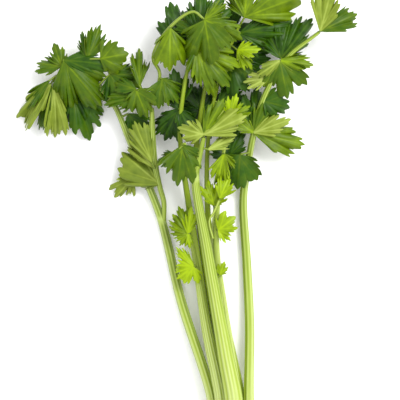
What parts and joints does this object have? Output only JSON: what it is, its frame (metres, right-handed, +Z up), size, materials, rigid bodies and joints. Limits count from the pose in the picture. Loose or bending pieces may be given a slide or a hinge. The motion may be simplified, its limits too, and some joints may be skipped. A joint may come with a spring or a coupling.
{
  "type": "head of celery",
  "caption": "Cut head of celery lying on its back: ribbed stalks fan out from a short butt into branches with lobed, toothed leaves",
  "frame": {"origin": "centre of the bounding box, on the surface that the head lies on", "axes": "+Y along the head from the cut butt to the leaves, +X across it, +Z up from the surface"},
  "size_m": [0.378, 0.511, 0.0681],
  "materials": {
    "butt": "pale cream plant flesh, matt, with a cut end",
    "stalk": "pale green ribbed plant skin, slightly waxy",
    "leaf": "green leaf, satin above and paler below"
  },
  "bodies": {
    "root": {"outer_stalk_left": "stalk", "outer_stalk_right": "stalk", "front_stalk": "stalk", "inner_stalk_left": "stalk", "inner_stalk_right": "stalk", "back_stalk_left": "stalk", "back_stalk_right": "stalk", "under_stalk": "stalk", "heart_stalk_long": "stalk", "heart_stalk_short": "stalk", "left_branch": "stalk", "left_arching_branch": "stalk", "front_branch": "stalk", "looping_branch": "stalk", "butt": "butt", "left_crown_leaf": "leaf", "left_spread_leaf": "leaf", "left_tuft_leaf": "leaf", "left_drooping_leaf": "leaf", "left_shaded_leaf": "leaf", "left_inner_leaf": "leaf", "left_low_leaf": "leaf", "left_bract_leaf": "leaf", "left_curly_leaf": "leaf", "left_pale_leaf": "leaf", "left_square_leaf": "leaf", "left_foot_leaf": "leaf", "front_star_leaf": "leaf", "front_crown_leaf": "leaf", "front_side_leaf": "leaf", "left_dark_leaf": "leaf", "right_round_leaf": "leaf", "right_teal_leaf": "leaf", "right_wavy_leaf": "leaf", "heart_leaf": "leaf", "right_maple_leaf": "leaf", "right_loop_leaf": "leaf", "heart_bud_leaf": "leaf", "inner_yellow_leaf": "leaf", "inner_green_leaf": "leaf", "arch_hanging_leaf": "leaf", "arch_crown_leaf": "leaf", "top_lobed_leaf": "leaf", "top_dark_leaf_left": "leaf", "top_dark_leaf_middle": "leaf", "top_bright_leaf": "leaf", "top_dark_leaf_right": "leaf", "middle_dark_leaf": "leaf", "middle_yellow_leaf": "leaf", "middle_low_leaf": "leaf", "under_leaf": "leaf", "under_top_leaf": "leaf", "right_pointing_leaf": "leaf", "right_crown_leaf": "leaf", "right_lobed_leaf": "leaf", "right_pale_leaf": "leaf", "right_serrate_leaf": "leaf", "right_fan_leaf": "leaf", "right_small_leaf": "leaf"}
  },
  "joints": []
}
